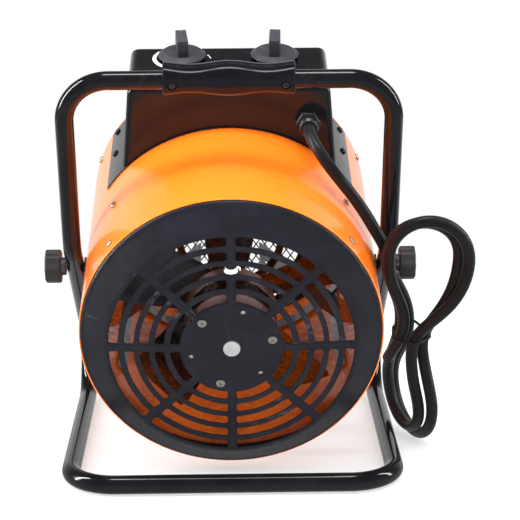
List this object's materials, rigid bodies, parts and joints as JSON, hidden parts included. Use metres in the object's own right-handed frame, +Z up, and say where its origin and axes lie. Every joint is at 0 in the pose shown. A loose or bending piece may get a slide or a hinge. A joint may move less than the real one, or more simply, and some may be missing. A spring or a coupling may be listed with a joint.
{
  "type": "industrial fan heater",
  "caption": "Drum fan heater in a tilting tube stand with a grip, inlet grille, outlet mesh, control box with rotary knobs, clamp knobs and a coiled mains cable",
  "frame": {"origin": "bottom centre of the box round the heater without its free cable, on the floor", "axes": "+X to the right seen from the inlet side, +Y towards the outlet side, +Z up"},
  "size_m": [0.446, 0.3878, 0.437],
  "materials": {
    "frame_black": "gloss black",
    "grip_black": "gloss black",
    "orange_paint": "gloss orange",
    "grille_black": "satin black",
    "mesh_black": "satin black",
    "box_black": "gloss black",
    "knob_grey": "satin charcoal",
    "zinc": "zinc plated",
    "steel": "plain steel",
    "dark_steel": "dark lacquered",
    "element_steel": "heat-darkened steel",
    "motor_alloy": "cast aluminium",
    "copper": "copper",
    "cable_rubber": "black rubber",
    "gland_black": "satin black",
    "switch_brown": "brown",
    "terminal_white": "white"
  },
  "bodies": {
    "stand": {"stand_tube": "frame_black", "grip_front": "grip_black", "grip_rear": "grip_black", "grip_screw_1": "dark_steel", "grip_screw_2": "dark_steel", "cord_lead": "cable_rubber", "cord_hank": "cable_rubber"},
    "drum": {"drum_shell": "orange_paint", "rear_grille": "grille_black", "outlet_ring": "mesh_black", "outlet_mesh": "mesh_black", "motor_rear_cover": "motor_alloy", "stator_core": "dark_steel", "stator_windings": "copper", "motor_front_cover": "motor_alloy", "motor_rear_bearing": "zinc", "motor_front_bearing": "zinc", "heating_element_inner": "element_steel", "heating_element_middle": "element_steel", "heating_element_outer": "element_steel", "element_frame": "steel", "element_plate": "steel", "overheat_cutout": "switch_brown", "box_saddle": "frame_black", "box_cover": "box_black", "switch_body": "switch_brown", "thermostat_body": "steel", "thermostat_bulb": "copper", "terminal_block": "terminal_white", "gland_body": "gland_black", "gland_nut": "gland_black", "motor_lead": "cable_rubber", "spoke_cable_tie": "terminal_white", "pivot_nut_left": "zinc", "pivot_nut_right": "zinc", "grille_screw_1": "zinc", "grille_screw_2": "zinc", "grille_screw_3": "zinc", "grille_screw_4": "zinc", "frame_screw_1": "zinc", "frame_screw_2": "zinc", "frame_screw_3": "zinc", "frame_screw_4": "zinc", "saddle_screw_1": "zinc", "saddle_screw_2": "zinc", "saddle_screw_3": "zinc", "saddle_screw_4": "zinc", "motor_screw_1": "zinc", "motor_screw_2": "zinc", "motor_screw_3": "zinc"},
    "fan": {"rotor_shaft": "steel", "fan_wheel": "dark_steel"},
    "thermostat_dial": {"thermostat_knob": "knob_grey", "thermostat_shaft": "zinc"},
    "mode_dial": {"mode_knob": "knob_grey", "mode_shaft": "zinc"},
    "clamp_left": {"clamp_knob_left": "grip_black", "clamp_stud_left": "zinc"},
    "clamp_right": {"clamp_knob_right": "grip_black", "clamp_stud_right": "zinc"}
  },
  "joints": [
    {"name": "drum_tilt", "type": "hinge", "parent": "stand", "child": "drum", "pos_m": [0, 0.00013, 0.192], "axis": [1, 0, 0], "range_deg": [-30, 0], "deforming": ["cord_lead"]},
    {"name": "fan_spin", "type": "hinge", "parent": "drum", "child": "fan", "pos_m": [0, -0.06408, 0.17431], "axis": [0, 0.9641, 0.2656], "continuous": true},
    {"name": "thermostat_turn", "type": "hinge", "parent": "drum", "child": "thermostat_dial", "pos_m": [-0.049, 0.03728, 0.41487], "axis": [0, 0.2656, -0.9641], "range_deg": [0, 270]},
    {"name": "mode_turn", "type": "hinge", "parent": "drum", "child": "mode_dial", "pos_m": [0.049, 0.03728, 0.41487], "axis": [0, 0.2656, -0.9641], "range_deg": [0, 135]},
    {"name": "clamp_left_turn", "type": "hinge", "parent": "drum", "child": "clamp_left", "pos_m": [-0.185, 0.00013, 0.192], "axis": [-1, 0, 0], "range_deg": [0, 360]},
    {"name": "clamp_right_turn", "type": "hinge", "parent": "drum", "child": "clamp_right", "pos_m": [0.185, 0.00013, 0.192], "axis": [1, 0, 0], "range_deg": [0, 360]}
  ]
}
